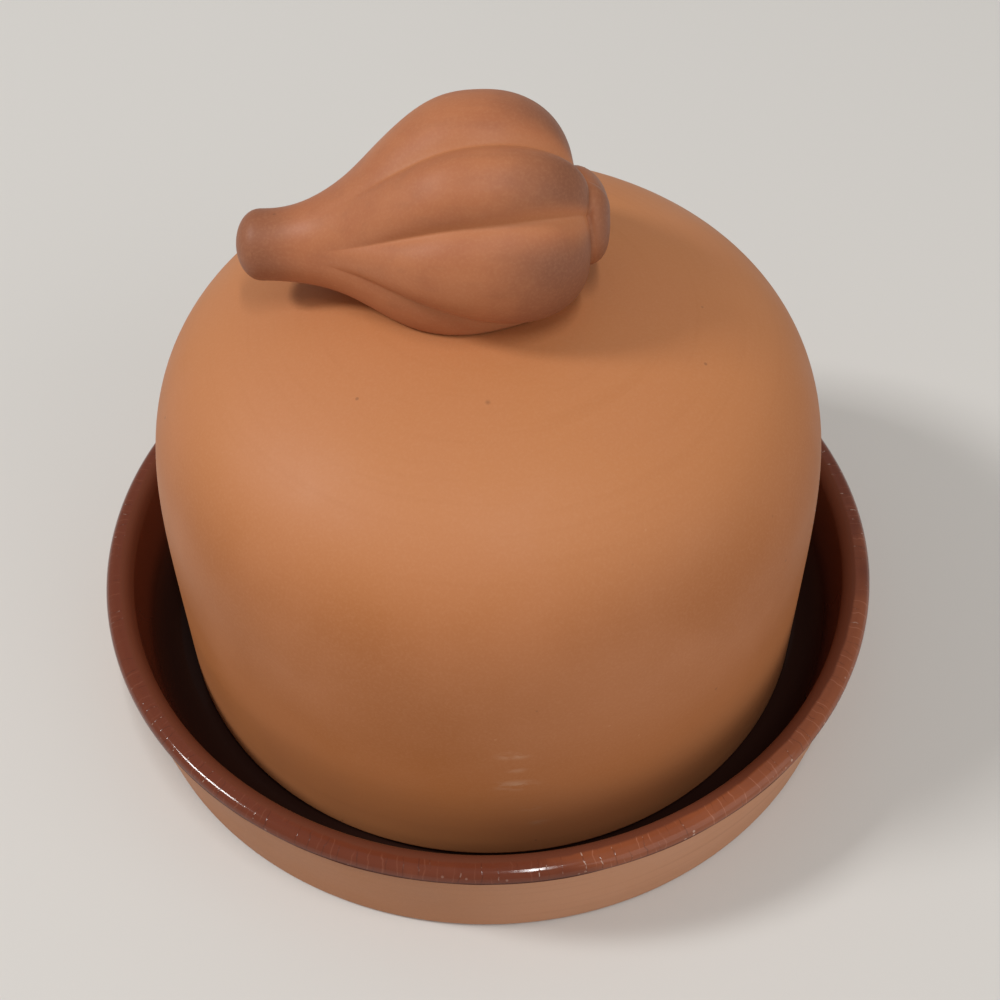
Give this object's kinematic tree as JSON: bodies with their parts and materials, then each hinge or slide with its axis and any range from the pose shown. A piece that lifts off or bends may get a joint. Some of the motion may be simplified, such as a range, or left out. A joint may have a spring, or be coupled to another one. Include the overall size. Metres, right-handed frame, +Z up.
{
  "type": "garlic roaster",
  "caption": "Terracotta garlic roaster: a low round dish, glazed inside, with a loose domed lid that lifts off by a knob shaped as a garlic bulb.",
  "frame": {"origin": "centre of the dish's foot, on the surface that it stands on", "axes": "+Z up along the dish's axis, -X towards the knob's stem end, +X towards its root"},
  "size_m": [0.16, 0.16, 0.1316],
  "materials": {
    "dish_clay": "bare fired terracotta, matte",
    "brown_glaze": "clear brown glaze, glossy, finely crazed",
    "lid_clay": "bare fired terracotta, matte",
    "knob_clay": "bare fired terracotta, matte, flashed darker on the raised parts"
  },
  "bodies": {
    "dish": {"base_dish": "dish_clay", "dish_glaze": "brown_glaze"},
    "lid": {"dome_lid": "lid_clay", "garlic_knob": "knob_clay"}
  },
  "joints": [
    {"name": "lid_lift", "type": "slide", "parent": "dish", "child": "lid", "axis": [0, 0, 1], "range_m": [0, 0.12]}
  ]
}
